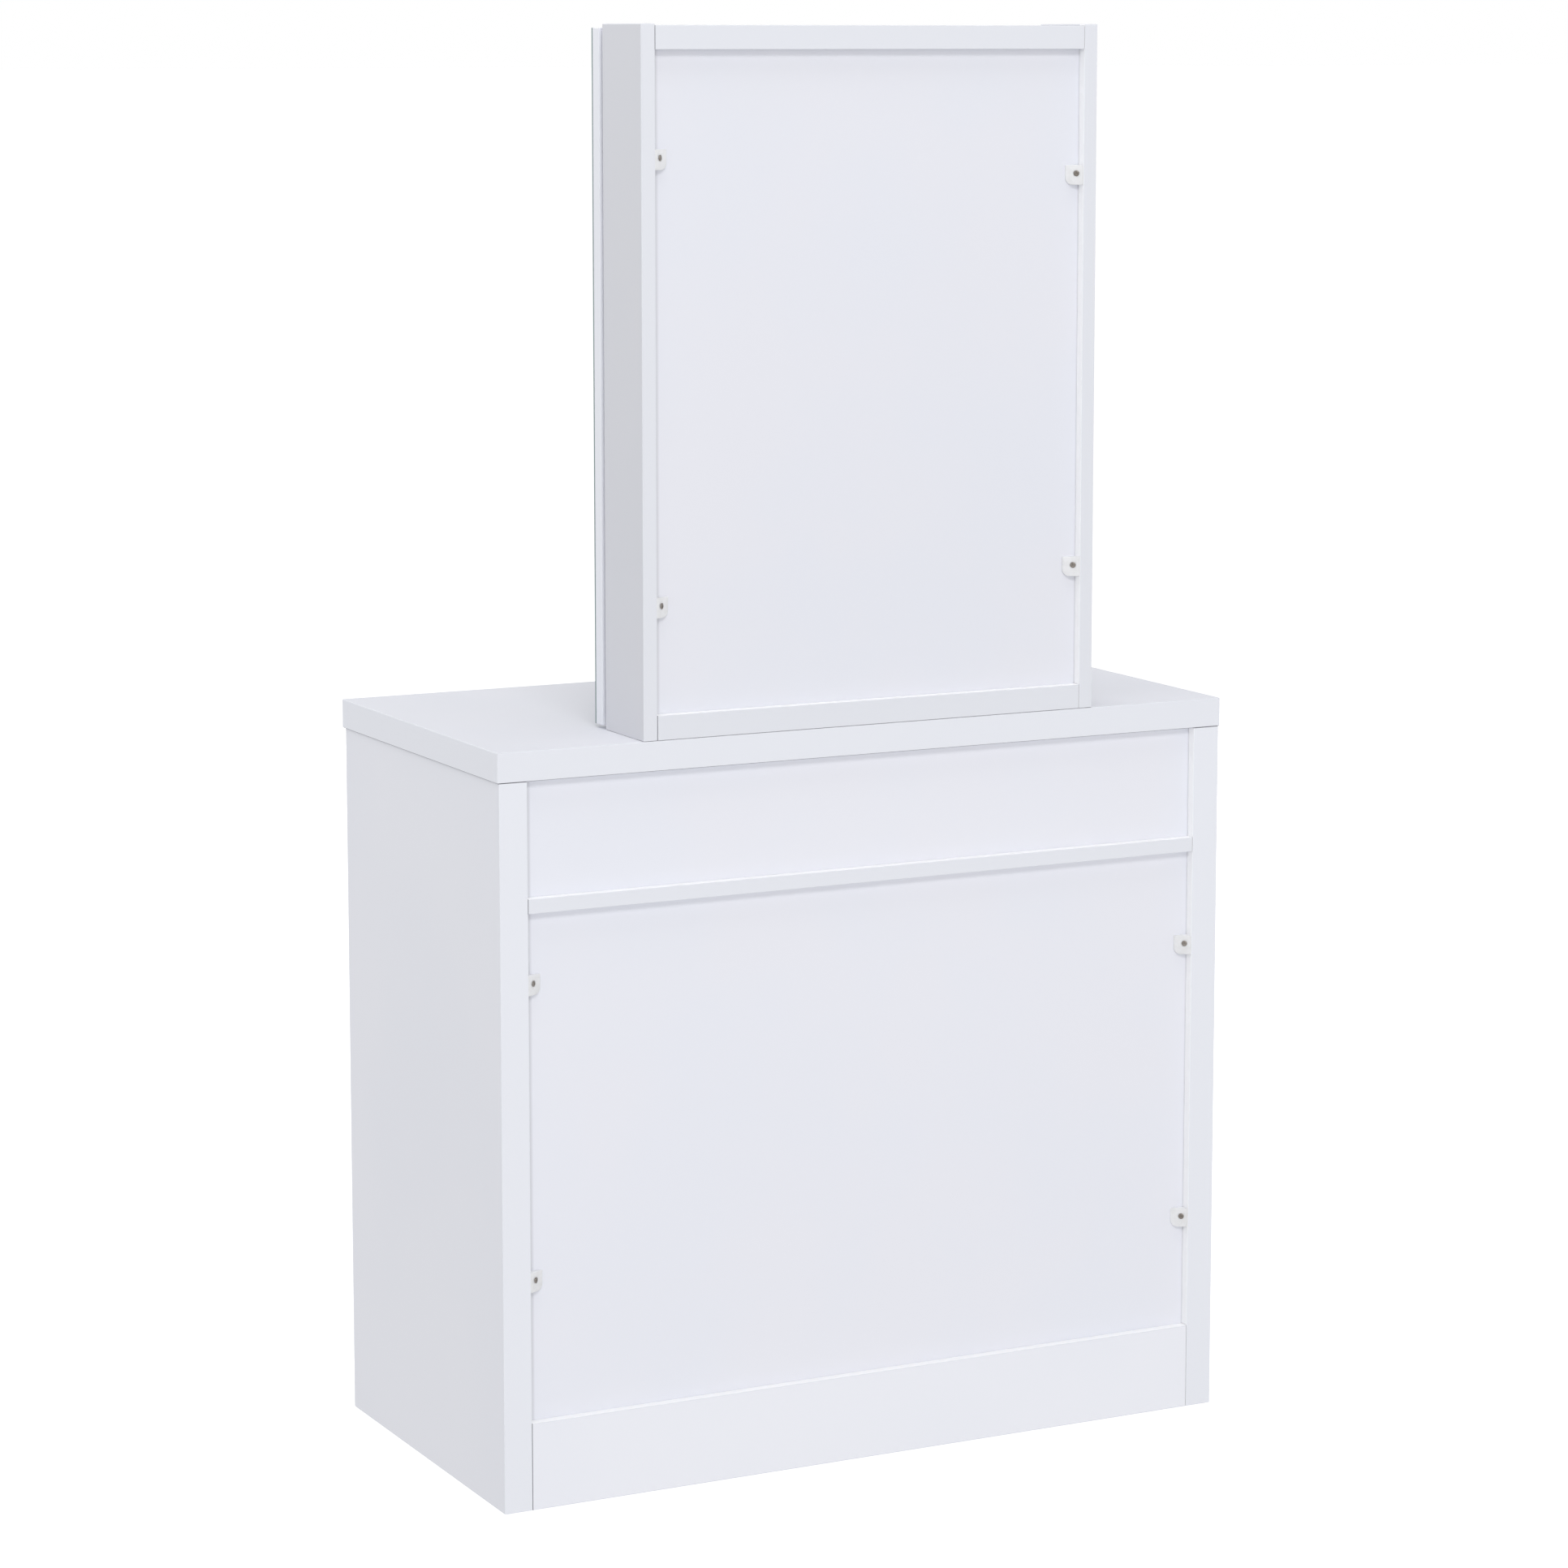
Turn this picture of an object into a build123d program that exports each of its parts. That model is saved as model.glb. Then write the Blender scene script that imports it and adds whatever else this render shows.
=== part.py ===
from build123d import *
import math
import os

os.makedirs("parts", exist_ok=True)

# A dressing table of faced board with a mirror cabinet standing on its top.
# Millimetres. +Z is up, the drawers face -Y, the panelled back faces +Y.
# The origin is on the floor, at the centre of the whole footprint, knobs included.

# Boards
board = 15.0              # thickness of every plain board
thick_board = 30.0        # tabletop and the two side panels
panel = 3.0               # loose back panels and drawer bottoms
edge_round = 0.8          # softened arris of every board
groove_depth = 5.0        # grooves that take the thin panels
groove_slack = 0.4        # groove width beyond the panel it takes
groove_wall = 2.0         # least wood left in front of a groove
panel_end_gap = 0.5       # gap between a panel's edge and its groove's floor

# Table
table_height = 762.0
top_width = 823.0
top_depth = 407.0
top_side_overhang = 1.5
top_front_overhang = 5.0
drawer_row_height = 116.0
skirt_height = 89.0
back_recess = 10.0        # how far the back panels lie inside the rear edges
pedestal_width = 300.0    # clear width between the pedestal's two walls
plinth_setback = 30.0

# Mirror cabinet
cabinet_width = 510.0
cabinet_height = 698.0
cabinet_depth = 89.0
cabinet_rail = 25.0       # cabinet's floor board, and the sides' tops to the top board's underside
top_board_drop = 1.5      # top board's upper face below the sides' tops
shelf_heights = (230.0, 450.0)    # shelf undersides above the cabinet's foot
shelf_setback = 4.0
shelf_play = 0.8          # side clearance of a loose shelf at each end
pin_radius = 2.5
pin_length = 16.0
pin_hole_depth = 8.0
pin_edge_distance = 14.0
pin_play = 0.05

# Mirror door
door_gap = 4.5            # between the cabinet's front edges and the door
door_side_overhang = 1.5
door_end_inset = 4.0      # top and bottom
glass = 3.0
hinge_height = 60.0
hinge_end_distance = 90.0    # hinge centre from the cabinet's top or foot
hinge_leaf = 1.2
hinge_leaf_width = 14.0
hinge_pin_radius = 1.25
hinge_pin_play = 0.05
hinge_knuckle_radius = 2.75
hinge_knuckle_gap = 0.3
hinge_knuckles = 5
hinge_edge_gap = 0.4      # knuckle to the door's edge and to the other leaf
pin_head_radius = 2.0
pin_head = 0.8
catch_height = 42.0
catch_width = 12.0
catch_depth = 20.0
catch_air = 0.6           # between the magnet and its plate, door closed
plate = 1.2
plate_height = 30.0

# Drawers
front_gap = 2.0           # around each inset drawer front
drawer_side = 12.0
drawer_length = 345.0
drawer_foot = 12.0        # box's lower edge above the front's lower edge
drawer_head = 18.0        # box's upper edge below the front's upper edge
bottom_rise = 8.0         # underside of the bottom panel above the box's foot
runner_space = 12.5       # between a drawer's side and the wall beside it
runner_air = 1.3          # rail's lips to the channel's web
runner_lip_air = 2.3      # channel's lips to the rail's web
channel_height = 35.0
rail_height = 24.0
sheet = 1.2               # steel of channels and rails
runner_inset = 3.0        # runners start this far behind the drawer front
runner_length = 330.0
knob_projection = 24.0
knob_radius = 14.0
knob_neck_radius = 5.0
knob_foot_radius = 8.0
knob_foot = 1.5           # thickness of the knob's round foot
knob_head = 7.2           # thickness of its head, rim to crown
knob_crown = 3.0          # rounding-off at the crown

# Corner clips that hold the loose back panels
clip_width = 16.0
clip_height = 20.0
clip_lip = 1.5
clip_round = 7.0
screw_tilt = 42.0         # screw axis, degrees round from the rear direction
screw_from_wall = 6.4
screw_from_panel = 6.6
screw_above_middle = 1.7
screw_head_radius = 3.0
screw_head = 2.0
screw_radius = 1.5
screw_length = 17.0
screw_well_radius = 3.6
# Middle of each clip: below the board above the panel, above the board below it
table_clips_left = (100.0, 117.5)
table_clips_right = (71.5, 142.5)
cabinet_clips_left = (126.5, 122.0)
cabinet_clips_right = (105.5, 106.0)

# Cam fittings that draw the boards together
cam_radius = 7.4
cam_hole_radius = 7.5
cam_height = 12.0
cam_setback = 24.0
cam_bolt_radius = 3.0
cam_bolt_bore = 3.5
cam_bolt_head = 2.5
cam_bolt_neck_radius = 2.0
cam_bolt_neck = 5.0
cam_bolt_bite = 11.0      # how far the bolt is screwed into the mating board
cam_slot = 1.4
cam_edge_distance = 60.0

# Screws from under the tabletop into the cabinet's floor
fixing_radius = 2.5
fixing_length = 45.0
fixing_head_radius = 5.0
fixing_head = 2.5
fixing_side_distance = 60.0
fixing_edge_distance = 27.0

# Planes worked out from the sizes above
knob_overhang = knob_projection - top_front_overhang
back_y = (top_depth + knob_overhang) / 2
top_front_y = back_y - top_depth
case_front_y = top_front_y + top_front_overhang
panel_back_y = back_y - back_recess
panel_front_y = panel_back_y - panel
skirt_front_y = back_y - max(board, back_recess + panel + groove_wall)
outer_x = top_width / 2 - top_side_overhang
inner_x = outer_x - thick_board
top_under_z = table_height - thick_board
divider_top_z = top_under_z - drawer_row_height
divider_under_z = divider_top_z - board
pedestal_right_x = inner_x - pedestal_width
pedestal_left_x = pedestal_right_x - board
cabinet_x = cabinet_width / 2
cabinet_inner_x = cabinet_x - board
cabinet_front_y = back_y - cabinet_depth
cabinet_top_z = table_height + cabinet_height
door_back_y = cabinet_front_y - door_gap
door_front_y = door_back_y - board
door_x = cabinet_x + door_side_overhang
door_low_z = table_height + door_end_inset
door_high_z = cabinet_top_z - door_end_inset
hinge_x = -(door_x + hinge_edge_gap + hinge_knuckle_radius)
hinge_y = (cabinet_front_y + door_back_y) / 2
rail_reach = runner_space - sheet - runner_air
channel_reach = runner_space - sheet - runner_lip_air

LOW = (Align.CENTER, Align.CENTER, Align.MIN)
pieces = {}


def block(x0, x1, y0, y1, z0, z1):
    """A plain box between two corners."""
    middle = ((x0 + x1) / 2, (y0 + y1) / 2, (z0 + z1) / 2)
    return Pos(*middle) * Box(x1 - x0, y1 - y0, z1 - z0)


def eased(x0, x1, y0, y1, z0, z1):
    """A board with every arris softened."""
    raw = block(x0, x1, y0, y1, z0, z1)
    return fillet(raw.edges(), edge_round)


def rod(start, direction, radius, length):
    """A cylinder from a point along a direction."""
    return Plane(origin=start, z_dir=direction) * Cylinder(radius, length, align=LOW)


def turned(start, direction, outline):
    """A turned solid: outline is (radius, distance along the axis) points."""
    face = make_face(Polyline([(r, h) for r, h in outline], close=True))
    body = revolve(Plane.XZ * face, Axis.Z)
    return Plane(origin=start, z_dir=direction) * body


def moved(point, direction, distance):
    return tuple(p + d * distance for p, d in zip(point, direction))


def cut(name, tool):
    pieces[name] = pieces[name] - tool


# Table boards

def table_boards():
    pieces["tabletop"] = eased(-top_width / 2, top_width / 2, top_front_y, back_y,
                               top_under_z, table_height)
    for side, sign in (("left", -1), ("right", 1)):
        near, far = sorted((sign * inner_x, sign * outer_x))
        pieces[f"side_panel_{side}"] = eased(near, far, case_front_y, back_y, 0, top_under_z)
    pieces["divider_board"] = eased(-inner_x, inner_x, case_front_y, back_y,
                                    divider_under_z, divider_top_z)
    pieces["rear_skirt"] = eased(-inner_x, inner_x, skirt_front_y, back_y, 0, skirt_height)
    pieces["pedestal_wall"] = eased(pedestal_left_x, pedestal_right_x, case_front_y,
                                    skirt_front_y, 0, divider_under_z)
    pieces["pedestal_floor"] = eased(pedestal_right_x, inner_x, case_front_y,
                                     skirt_front_y, skirt_height - board, skirt_height)
    plinth_y = case_front_y + plinth_setback
    pieces["front_plinth"] = eased(pedestal_right_x, inner_x, plinth_y, plinth_y + board,
                                   0, skirt_height - board)
    pieces["drawer_partition"] = eased(pedestal_left_x, pedestal_right_x, case_front_y,
                                       panel_front_y - groove_slack, divider_top_z, top_under_z)


# Mirror cabinet boards

def cabinet_boards():
    for side, sign in (("left", -1), ("right", 1)):
        near, far = sorted((sign * cabinet_inner_x, sign * cabinet_x))
        pieces[f"cabinet_side_{side}"] = eased(near, far, cabinet_front_y, back_y,
                                               table_height, cabinet_top_z)
    pieces["cabinet_floor"] = eased(-cabinet_inner_x, cabinet_inner_x, cabinet_front_y, back_y,
                                    table_height, table_height + cabinet_rail)
    pieces["cabinet_top"] = eased(-cabinet_inner_x, cabinet_inner_x, cabinet_front_y, back_y,
                                  cabinet_top_z - cabinet_rail, cabinet_top_z - top_board_drop)


# Back panels and the grooves that hold them

def grooved_panel(name, half_width, low_z, high_z, walls, floor_board, head_board):
    """A thin panel let into its two walls and the boards below and above it."""
    reach = groove_depth - panel_end_gap
    pieces[name] = block(-half_width - reach, half_width + reach, panel_front_y, panel_back_y,
                         low_z - reach, high_z + reach)
    slot = block(-half_width - groove_depth, half_width + groove_depth,
                 panel_front_y - groove_slack / 2, panel_back_y + groove_slack / 2,
                 low_z - groove_depth, high_z + groove_depth)
    for other in (*walls, floor_board, head_board):
        cut(other, slot)


def back_panels():
    table_walls = ("side_panel_left", "side_panel_right")
    cabinet_walls = ("cabinet_side_left", "cabinet_side_right")
    grooved_panel("upper_back_panel", inner_x, divider_top_z, top_under_z, table_walls,
                  "divider_board", "tabletop")
    grooved_panel("lower_back_panel", inner_x, skirt_height, divider_under_z, table_walls,
                  "rear_skirt", "divider_board")
    grooved_panel("cabinet_back_panel", cabinet_inner_x, table_height + cabinet_rail,
                  cabinet_top_z - cabinet_rail, cabinet_walls, "cabinet_floor", "cabinet_top")


# Corner clips and their screws

def cross_head(start, direction, head_radius, head_height, radius, length):
    """A pan-head screw with a cross recess; start is under the head."""
    dome = head_height / 2
    outline = [(0, head_height), (head_radius * 0.6, head_height), (head_radius, dome),
               (head_radius, 0), (radius, 0), (radius, -length + radius), (0, -length)]
    screw = turned(start, direction, outline)
    frame = Plane(origin=moved(start, direction, head_height * 0.4), z_dir=direction)
    for turn in (0, 90):
        slot = Rot(0, 0, turn) * Box(head_radius * 1.1, head_radius * 0.28, head_height, align=LOW)
        screw = screw - frame * slot
    return screw


def corner_clip(wall_x, sign, middle_z):
    """A wedge in the corner between a back panel and the wall at wall_x.

    sign is +1 for the right-hand wall and -1 for the left-hand one. Returns the
    clip, the bore that its screw needs in the boards, and the screw.
    """
    def away(distance):
        return wall_x - sign * distance

    wedge = make_face(Polyline([(away(0), panel_back_y), (away(clip_width), panel_back_y),
                                (away(clip_width), panel_back_y + clip_lip),
                                (away(clip_lip), back_y - clip_lip / 2),
                                (away(0), back_y - clip_lip / 2)], close=True))
    low_z = middle_z - clip_height / 2
    clip = extrude(Plane.XY.offset(low_z) * wedge, clip_height, dir=(0, 0, 1))
    free_edges = [e for e in clip.edges().filter_by(Axis.Y)
                  if abs(e.center().X - away(clip_width)) < 0.01]
    lower = min(free_edges, key=lambda e: e.center().Z)
    clip = fillet(lower, clip_round)
    lean = math.radians(screw_tilt)
    outward = (-sign * math.sin(lean), math.cos(lean), 0)
    seat = (away(screw_from_wall), panel_back_y + screw_from_panel, middle_z + screw_above_middle)
    well = rod(seat, outward, screw_well_radius, clip_width)
    bore = rod(moved(seat, outward, -screw_length), outward, screw_radius, screw_length)
    screw = cross_head(seat, outward, screw_head_radius, screw_head, screw_radius, screw_length)
    return clip - well - bore, bore, screw


def panel_clips():
    table = ("side_panel", "lower_back_panel", inner_x, skirt_height, divider_under_z)
    cabinet = ("cabinet_side", "cabinet_back_panel", cabinet_inner_x,
               table_height + cabinet_rail, cabinet_top_z - cabinet_rail)
    rows = ((*table, "left", -1, table_clips_left), (*table, "right", 1, table_clips_right),
            (*cabinet, "left", -1, cabinet_clips_left), (*cabinet, "right", 1, cabinet_clips_right))
    clips, screws = [], []
    for wall, thin, wall_x, low_z, high_z, side, sign, (down, up) in rows:
        for middle_z in (high_z - down, low_z + up):
            clip, bore, screw = corner_clip(sign * wall_x, sign, middle_z)
            cut(f"{wall}_{side}", bore)
            cut(thin, bore)
            clips.append(clip)
            screws.append(screw)
    pieces["panel_clips"] = Compound(clips)
    pieces["clip_screws"] = Compound(screws)


# Cam fittings

def cam_fitting(holder, mate, end_point, outward, face, half_thickness):
    """A cam let into the holder's face, and its bolt screwed into the mate.

    end_point is on the holder's end, at mid thickness; outward points into the
    mate; face points out of the holder's face that the cam is set in.
    """
    middle = moved(end_point, outward, -cam_setback)
    mouth = moved(middle, face, half_thickness)
    floor = moved(mouth, face, -cam_height)
    lock = rod(floor, face, cam_radius, cam_height)
    passage = rod(middle, outward, cam_bolt_bore, cam_setback)
    lock = lock - passage - rod(middle, outward, cam_bolt_bore, cam_radius)
    frame = Plane(origin=moved(mouth, face, -cam_slot), z_dir=face)
    for turn in (0, 90):
        lock = lock - frame * (Rot(0, 0, turn) * Box(cam_radius, cam_slot, cam_slot, align=LOW))
    cut(holder, rod(floor, face, cam_hole_radius, cam_height))
    cut(holder, passage)
    cut(mate, rod(end_point, outward, cam_bolt_radius, cam_bolt_bite))
    neck_end = cam_bolt_head + cam_bolt_neck
    tip = cam_setback + cam_bolt_bite
    outline = [(0, 0), (cam_bolt_radius, 0), (cam_bolt_radius, cam_bolt_head),
               (cam_bolt_neck_radius, cam_bolt_head), (cam_bolt_neck_radius, neck_end),
               (cam_bolt_radius, neck_end), (cam_bolt_radius, tip), (0, tip)]
    return lock, turned(middle, outward, outline)


def cam_fittings():
    near_y, far_y = case_front_y + cam_edge_distance, back_y - cam_edge_distance
    half, half_thick, half_floor = board / 2, thick_board / 2, cabinet_rail / 2
    half_top = (cabinet_rail - top_board_drop) / 2
    right, left, up, down = (1, 0, 0), (-1, 0, 0), (0, 0, 1), (0, 0, -1)
    rear, front = (0, 1, 0), (0, -1, 0)
    divider_z, floor_z = divider_top_z - half, skirt_height - half
    pedestal_x = pedestal_right_x - half
    places = []
    for y in (near_y, far_y):
        places += [
            ("divider_board", "side_panel_left", (-inner_x, y, divider_z), left, down, half),
            ("divider_board", "side_panel_right", (inner_x, y, divider_z), right, down, half),
            ("pedestal_floor", "side_panel_right", (inner_x, y, floor_z), right, down, half),
            ("pedestal_floor", "pedestal_wall", (pedestal_right_x, y, floor_z), left, down, half),
            ("pedestal_wall", "divider_board", (pedestal_x, y, divider_under_z), up, left, half),
            ("drawer_partition", "tabletop", (pedestal_x, y, top_under_z), up, left, half),
        ]
        for side, sign, inward in (("left", -1, right), ("right", 1, left)):
            head = (sign * (inner_x + half_thick), y, top_under_z)
            places.append((f"side_panel_{side}", "tabletop", head, up, inward, half_thick))
    skirt_y, skirt_z = skirt_front_y + half, skirt_height / 2
    places.append(("rear_skirt", "side_panel_left", (-inner_x, skirt_y, skirt_z), left, front, half))
    places.append(("rear_skirt", "side_panel_right", (inner_x, skirt_y, skirt_z), right, front, half))
    cabinet_y = cabinet_front_y + (cabinet_depth - back_recess - panel) / 2
    for side, sign, outward in (("left", -1, left), ("right", 1, right)):
        wall = f"cabinet_side_{side}"
        x = sign * cabinet_inner_x
        foot = (x, cabinet_y, table_height + half_floor)
        head = (x, cabinet_y, cabinet_top_z - cabinet_rail + half_top)
        places.append(("cabinet_floor", wall, foot, outward, up, half_floor))
        places.append(("cabinet_top", wall, head, outward, down, half_top))
    fitted = [cam_fitting(*place) for place in places]
    pieces["cam_locks"] = Compound([lock for lock, bolt in fitted])
    pieces["cam_bolts"] = Compound([bolt for lock, bolt in fitted])


# Shelves of the mirror cabinet

def cabinet_shelves():
    front_y = cabinet_front_y + shelf_setback
    rear_y = panel_front_y - shelf_play
    half = cabinet_inner_x - shelf_play
    pins = []
    for name, height in zip(("lower", "upper"), shelf_heights):
        low_z = table_height + height
        pieces[f"cabinet_shelf_{name}"] = eased(-half, half, front_y, rear_y, low_z, low_z + board)
        for side, sign in (("left", -1), ("right", 1)):
            for y in (front_y + pin_edge_distance, rear_y - pin_edge_distance):
                start = (sign * (cabinet_inner_x + pin_hole_depth), y, low_z - pin_radius)
                inward = (-sign, 0, 0)
                cut(f"cabinet_side_{side}", rod(start, inward, pin_radius + pin_play,
                                                pin_hole_depth))
                pins.append(rod(start, inward, pin_radius, pin_length))
    pieces["shelf_pins"] = Compound(pins)


# Screws that hold the cabinet down on the tabletop

def cabinet_fixings():
    screws = []
    for x in (-cabinet_inner_x + fixing_side_distance, cabinet_inner_x - fixing_side_distance):
        for y in (cabinet_front_y + fixing_edge_distance, back_y - fixing_edge_distance):
            head = (x, y, top_under_z)
            bore = rod(head, (0, 0, 1), fixing_radius, fixing_length)
            cut("tabletop", bore)
            cut("cabinet_floor", bore)
            screws.append(cross_head(head, (0, 0, -1), fixing_head_radius, fixing_head,
                                     fixing_radius, fixing_length))
    pieces["cabinet_fixing_screws"] = Compound(screws)


# Mirror door, its hinges and its magnetic catch

def hinge(middle_z):
    """Frame leaf, door leaf and pin of one butt hinge."""
    foot = middle_z - hinge_height / 2
    step = hinge_height / hinge_knuckles
    leaf_x = hinge_x + hinge_knuckle_radius + hinge_edge_gap
    tip_x = -cabinet_x + hinge_leaf_width
    frame_leaf = block(leaf_x, tip_x, cabinet_front_y - hinge_leaf, cabinet_front_y,
                       foot, foot + hinge_height)
    door_leaf = block(leaf_x, tip_x, door_back_y, door_back_y + hinge_leaf,
                      foot, foot + hinge_height)
    bore = rod((hinge_x, hinge_y, foot), (0, 0, 1), hinge_pin_radius + hinge_pin_play, hinge_height)
    for index in range(hinge_knuckles):
        low = foot + index * step + hinge_knuckle_gap / 2
        high = low + step - hinge_knuckle_gap
        knuckle = rod((hinge_x, hinge_y, low), (0, 0, 1), hinge_knuckle_radius, high - low)
        if index % 2 == 0:
            arm = block(hinge_x, leaf_x, cabinet_front_y - hinge_leaf, cabinet_front_y, low, high)
            frame_leaf = frame_leaf + knuckle + arm
        else:
            arm = block(hinge_x, leaf_x, door_back_y, door_back_y + hinge_leaf, low, high)
            door_leaf = door_leaf + knuckle + arm
    outline = [(0, -pin_head), (pin_head_radius, -pin_head), (pin_head_radius, 0),
               (hinge_pin_radius, 0), (hinge_pin_radius, hinge_height),
               (pin_head_radius, hinge_height), (pin_head_radius, hinge_height + pin_head),
               (0, hinge_height + pin_head)]
    pin = turned((hinge_x, hinge_y, foot), (0, 0, 1), outline)
    return frame_leaf - bore, door_leaf - bore, pin


def mirror_door():
    pieces["door_board"] = eased(-door_x, door_x, door_front_y, door_back_y,
                                 door_low_z, door_high_z)
    pane = block(-door_x, door_x, door_front_y - glass, door_front_y, door_low_z, door_high_z)
    pieces["mirror_glass"] = chamfer(pane.faces().sort_by(Axis.Y)[0].edges(), glass / 3)
    heights = (table_height + hinge_end_distance, cabinet_top_z - hinge_end_distance)
    hinges = [hinge(z) for z in heights]
    pieces["hinge_frame_leaves"] = Compound([frame for frame, door, pin in hinges])
    pieces["hinge_door_leaves"] = Compound([door for frame, door, pin in hinges])
    pieces["hinge_pins"] = Compound([pin for frame, door, pin in hinges])
    middle_z = (table_height + cabinet_top_z) / 2
    catch_front_y = door_back_y + plate + catch_air
    inner = cabinet_inner_x
    pieces["door_catch"] = eased(inner - catch_width, inner, catch_front_y,
                                 catch_front_y + catch_depth, middle_z - catch_height / 2,
                                 middle_z + catch_height / 2)
    pieces["catch_plate"] = block(inner - catch_width, inner, door_back_y, door_back_y + plate,
                                  middle_z - plate_height / 2, middle_z + plate_height / 2)


# Drawers and their runners

def runner_profile(face_x, sign, reach, height, middle_z, start_y):
    """A folded steel profile: its web lies on the face at face_x, its lips reach
    away from that face along X, to the side that sign gives."""
    near, far = sorted((face_x, face_x + sign * reach))
    outer = block(near, far, start_y, start_y + runner_length,
                  middle_z - height / 2, middle_z + height / 2)
    hollow = block(near, far, start_y, start_y + runner_length,
                   middle_z - height / 2 + sheet, middle_z + height / 2 - sheet)
    return outer - Pos(sign * sheet, 0, 0) * hollow


def knob(x, z):
    rim = knob_projection - knob_head
    spread = knob_radius - knob_neck_radius
    outline = [(0, 0), (knob_foot_radius, 0), (knob_foot_radius, knob_foot),
               (knob_neck_radius, knob_foot + knob_foot_radius - knob_neck_radius),
               (knob_neck_radius, rim - spread / 2), (knob_radius, rim),
               (knob_radius, knob_projection - knob_crown),
               (knob_radius - knob_crown, knob_projection), (0, knob_projection)]
    return turned((x, case_front_y, z), (0, -1, 0), outline)


def drawer(name, left_x, right_x, low_z, high_z):
    """One inset drawer that fills the bay between the given walls."""
    front = (left_x + front_gap, right_x - front_gap, low_z + front_gap, high_z - front_gap)
    box_left, box_right = left_x + runner_space, right_x - runner_space
    box_low, box_high = front[2] + drawer_foot, front[3] - drawer_head
    start_y = case_front_y + board
    end_y = start_y + drawer_length
    inner_left, inner_right = box_left + drawer_side, box_right - drawer_side
    pieces[f"{name}_front"] = eased(front[0], front[1], case_front_y, start_y, front[2], front[3])
    pieces[f"{name}_side_left"] = eased(box_left, inner_left, start_y, end_y, box_low, box_high)
    pieces[f"{name}_side_right"] = eased(inner_right, box_right, start_y, end_y, box_low, box_high)
    pieces[f"{name}_back"] = eased(inner_left, inner_right, end_y - drawer_side, end_y,
                                   box_low, box_high)
    reach = groove_depth - panel_end_gap
    bottom_z = box_low + bottom_rise
    pieces[f"{name}_bottom"] = block(inner_left - reach, inner_right + reach, start_y - reach,
                                     end_y - drawer_side + reach, bottom_z, bottom_z + panel)
    slot = block(inner_left - groove_depth, inner_right + groove_depth, start_y - groove_depth,
                 end_y - drawer_side + groove_depth, bottom_z - groove_slack / 2,
                 bottom_z + panel + groove_slack / 2)
    for member in ("front", "side_left", "side_right", "back"):
        cut(f"{name}_{member}", slot)
    pieces[f"{name}_knob"] = knob((left_x + right_x) / 2, (front[2] + front[3]) / 2)
    middle_z = (box_low + box_high) / 2
    rail = (rail_reach, rail_height, middle_z, start_y + runner_inset)
    channel = (channel_reach, channel_height, middle_z, start_y + runner_inset)
    pieces[f"{name}_rails"] = Compound([runner_profile(box_left, -1, *rail),
                                        runner_profile(box_right, 1, *rail)])
    return [runner_profile(left_x, 1, *channel), runner_profile(right_x, -1, *channel)]


def drawers():
    bay = (divider_under_z - skirt_height) / 2
    bays = {
        "wide_drawer": (-inner_x, pedestal_left_x, divider_top_z, top_under_z),
        "small_drawer": (pedestal_right_x, inner_x, divider_top_z, top_under_z),
        "middle_drawer": (pedestal_right_x, inner_x, divider_under_z - bay, divider_under_z),
        "bottom_drawer": (pedestal_right_x, inner_x, skirt_height, skirt_height + bay),
    }
    channels = []
    for name, limits in bays.items():
        channels += drawer(name, *limits)
    pieces["runner_channels"] = Compound(channels)


table_boards()
cabinet_boards()
back_panels()
panel_clips()
cam_fittings()
cabinet_shelves()
cabinet_fixings()
mirror_door()
drawers()

for node, shape in pieces.items():
    export_step(shape, f"parts/{node}.step")
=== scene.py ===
import math

import bmesh
import bpy
from mathutils import Matrix, Vector


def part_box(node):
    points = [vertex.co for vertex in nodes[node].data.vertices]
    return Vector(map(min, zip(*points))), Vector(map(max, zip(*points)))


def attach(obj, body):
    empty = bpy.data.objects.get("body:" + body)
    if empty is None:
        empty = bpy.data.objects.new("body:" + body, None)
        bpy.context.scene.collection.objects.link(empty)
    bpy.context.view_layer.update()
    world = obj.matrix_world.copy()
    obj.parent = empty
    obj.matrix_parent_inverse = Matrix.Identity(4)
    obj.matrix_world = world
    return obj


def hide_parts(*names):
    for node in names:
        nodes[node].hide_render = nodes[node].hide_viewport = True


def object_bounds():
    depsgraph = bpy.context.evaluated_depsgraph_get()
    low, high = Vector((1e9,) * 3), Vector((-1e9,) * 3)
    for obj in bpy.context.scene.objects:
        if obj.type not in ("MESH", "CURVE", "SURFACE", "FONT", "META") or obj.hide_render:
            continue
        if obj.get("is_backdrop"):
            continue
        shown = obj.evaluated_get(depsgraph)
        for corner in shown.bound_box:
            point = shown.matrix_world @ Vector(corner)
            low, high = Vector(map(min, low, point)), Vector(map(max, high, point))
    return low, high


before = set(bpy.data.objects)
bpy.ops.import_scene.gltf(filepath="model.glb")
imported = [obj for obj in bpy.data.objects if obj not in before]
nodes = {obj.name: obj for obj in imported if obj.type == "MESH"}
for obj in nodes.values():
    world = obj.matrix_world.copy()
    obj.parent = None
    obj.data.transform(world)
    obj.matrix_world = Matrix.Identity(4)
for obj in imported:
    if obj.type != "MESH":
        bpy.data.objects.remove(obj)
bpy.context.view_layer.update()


# ---------------------------------------------------------------- camera
# The camera stands behind the table, off its right-hand side and level with the mirror
# cabinet. It looks slightly down, with a small shift, so that the uprights stay parallel.
camera_place = Vector((2.1166, 4.1719, 1.4456))
camera_heading = math.radians(26.985)     # turned from -Y towards -X
camera_tilt = math.radians(7.825)         # below the horizon
camera_lens = 103.6
camera_shift = -0.08

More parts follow.
